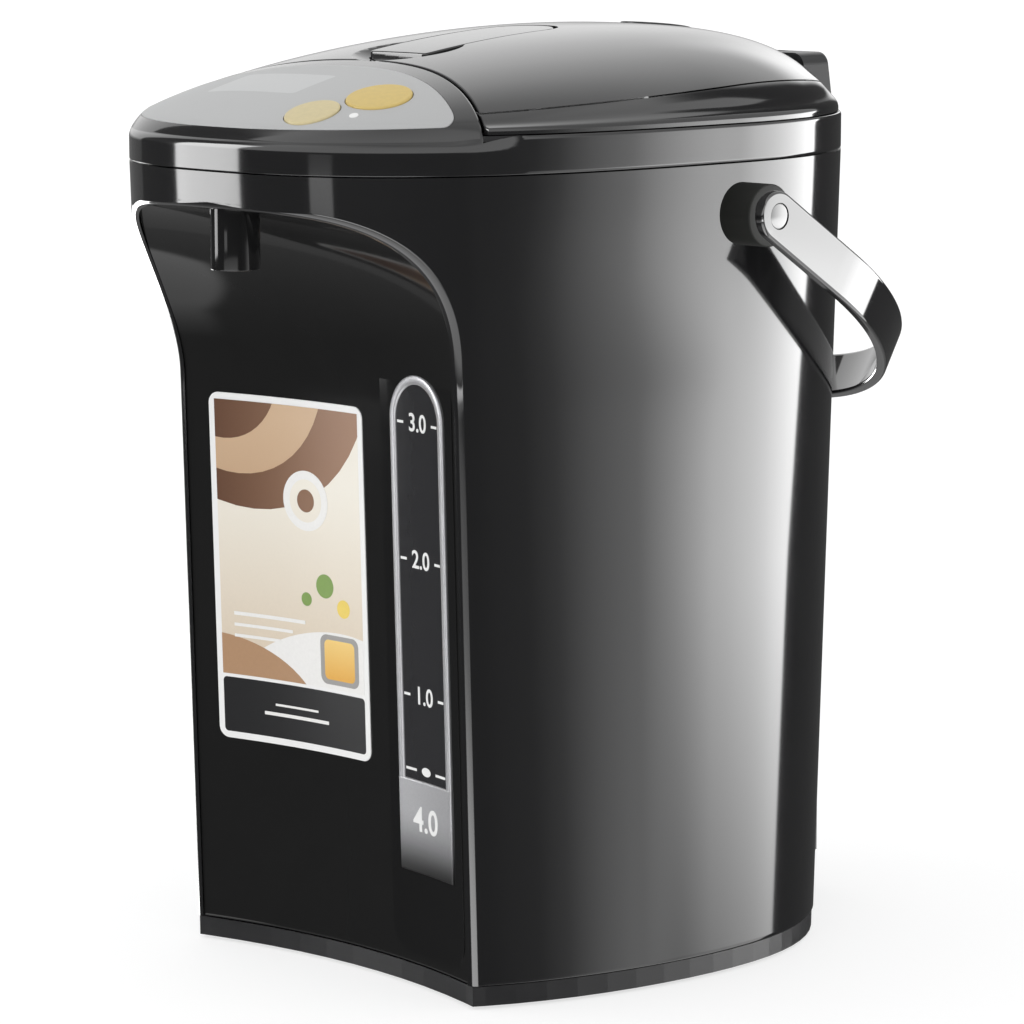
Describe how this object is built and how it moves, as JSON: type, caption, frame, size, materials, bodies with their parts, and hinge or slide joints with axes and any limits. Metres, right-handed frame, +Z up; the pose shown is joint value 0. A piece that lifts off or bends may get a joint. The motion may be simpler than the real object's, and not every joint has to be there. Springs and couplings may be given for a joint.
{
  "type": "electric thermo pot",
  "caption": "Tall hot water dispenser with a beaked front, a crowned hinged lid with a lift lever, press buttons, a level gauge, a swinging carry handle and a turning base.",
  "frame": {"origin": "on the floor, on the axis about which the turning base turns, under the body's own axis", "axes": "+X across the pot to its left as seen from the back, +Y to the back where the lid hinges, +Z up; the spout and panel face -Y"},
  "size_m": [0.23, 0.2728, 0.3235],
  "materials": {
    "outer_sleeve": "high gloss black lacquer",
    "front_panel": "high gloss",
    "gauge_strip": "high gloss",
    "label_plate": "printed film, satin",
    "gauge_frame": "silver paint, satin",
    "gauge_window": "clear smoked plastic",
    "gauge_tube": "clear glass tube",
    "top_frame": "high gloss",
    "control_panel": "satin film",
    "display_window": "smoked, satin",
    "lock_lamp": "clear lens",
    "dispense_button": "satin amber",
    "unlock_button": "satin amber",
    "control_board": "solder mask",
    "base_cover": "fine matt",
    "base_screws": "zinc plated",
    "turntable": "fine matt",
    "turntable_clip": "plain",
    "rubber_feet": "soft matt",
    "tank": "drawn stainless",
    "insulation_jacket": "felted mat",
    "heater_plate": "cast",
    "thermostat": "ceramic",
    "pump_housing": "natural",
    "pump_impeller": "natural",
    "pump_motor": "plated can",
    "drive_magnet": "sintered",
    "suction_pipe": "silicone",
    "riser_pipe": "silicone",
    "outlet_pipe": "silicone",
    "spout": "high gloss",
    "power_board": "solder mask",
    "inlet_housing": "fine matt",
    "inlet_pins": "plated",
    "inlet_guard": "gloss",
    "handle_bosses": "high gloss",
    "handle_pins": "gloss",
    "handle_bail": "high gloss",
    "lid_base": "high gloss",
    "lid_cover": "high gloss",
    "lid_plate": "pressed stainless",
    "lid_gasket": "silicone",
    "steam_cap": "gloss",
    "lid_lever": "high gloss",
    "lever_pin": "plain",
    "latch_slide": "natural",
    "hinge_block": "gloss",
    "hinge_pin": "plain"
  },
  "bodies": {
    "pot": {"outer_sleeve": "outer_sleeve", "front_panel": "front_panel", "gauge_strip": "gauge_strip", "label_plate": "label_plate", "gauge_frame": "gauge_frame", "gauge_window": "gauge_window", "gauge_tube": "gauge_tube", "top_frame": "top_frame", "control_panel": "control_panel", "display_window": "display_window", "lock_lamp": "lock_lamp", "control_board": "control_board", "base_cover": "base_cover", "base_screws": "base_screws", "tank": "tank", "insulation_jacket": "insulation_jacket", "heater_plate": "heater_plate", "thermostat": "thermostat", "pump_housing": "pump_housing", "pump_motor": "pump_motor", "suction_pipe": "suction_pipe", "riser_pipe": "riser_pipe", "outlet_pipe": "outlet_pipe", "spout": "spout", "power_board": "power_board", "inlet_housing": "inlet_housing", "inlet_pins": "inlet_pins", "inlet_guard": "inlet_guard", "handle_bosses": "handle_bosses", "handle_pins": "handle_pins", "hinge_block": "hinge_block", "hinge_pin": "hinge_pin"},
    "lid": {"lid_base": "lid_base", "lid_cover": "lid_cover", "lid_plate": "lid_plate", "lid_gasket": "lid_gasket", "steam_cap": "steam_cap", "lever_pin": "lever_pin"},
    "lever": {"lid_lever": "lid_lever"},
    "latch": {"latch_slide": "latch_slide"},
    "handle": {"handle_bail": "handle_bail"},
    "dispense_key": {"dispense_button": "dispense_button"},
    "unlock_key": {"unlock_button": "unlock_button"},
    "turning_base": {"turntable": "turntable", "turntable_clip": "turntable_clip", "rubber_feet": "rubber_feet"},
    "rotor": {"drive_magnet": "drive_magnet"},
    "impeller": {"pump_impeller": "pump_impeller"}
  },
  "joints": [
    {"name": "lid_hinge", "type": "hinge", "parent": "pot", "child": "lid", "pos_m": [0, 0.106, 0.304], "axis": [-1, 0, 0], "range_deg": [0, 92]},
    {"name": "lever_lift", "type": "hinge", "parent": "lid", "child": "lever", "pos_m": [0, -0.001, 0.31783], "axis": [-1, 0, 0], "range_deg": [0, 22], "stiffness_Nm_per_rad": 0.04, "springref_deg": -17.19},
    {"name": "latch_pull", "type": "slide", "parent": "lid", "child": "latch", "axis": [0, 1, 0], "range_m": [0, 0.0041]},
    {"name": "handle_swing", "type": "hinge", "parent": "pot", "child": "handle", "pos_m": [0, 0, 0.263], "axis": [1, 0, 0], "range_deg": [0, 178]},
    {"name": "dispense_press", "type": "slide", "parent": "pot", "child": "dispense_key", "axis": [0, 0, -1], "range_m": [0, 0.0012], "stiffness_N_per_m": 500, "springref_m": -0.0005},
    {"name": "unlock_press", "type": "slide", "parent": "pot", "child": "unlock_key", "axis": [0, 0, -1], "range_m": [0, 0.0012], "stiffness_N_per_m": 500, "springref_m": -0.0005},
    {"name": "base_turn", "type": "hinge", "parent": "pot", "child": "turning_base", "pos_m": [0, 0, 0.004], "axis": [0, 0, 1], "continuous": true},
    {"name": "rotor_spin", "type": "hinge", "parent": "pot", "child": "rotor", "pos_m": [-0.03, -0.054, 0.0275], "axis": [0, 0, 1], "continuous": true},
    {"name": "impeller_spin", "type": "hinge", "parent": "pot", "child": "impeller", "pos_m": [-0.03, -0.054, 0.0355], "axis": [0, 0, 1], "continuous": true}
  ],
  "couplings": [
    {"joint": "latch_pull", "follows": "lever_lift", "m_per_rad": 0.0104},
    {"joint": "impeller_spin", "follows": "rotor_spin", "ratio": 1}
  ]
}
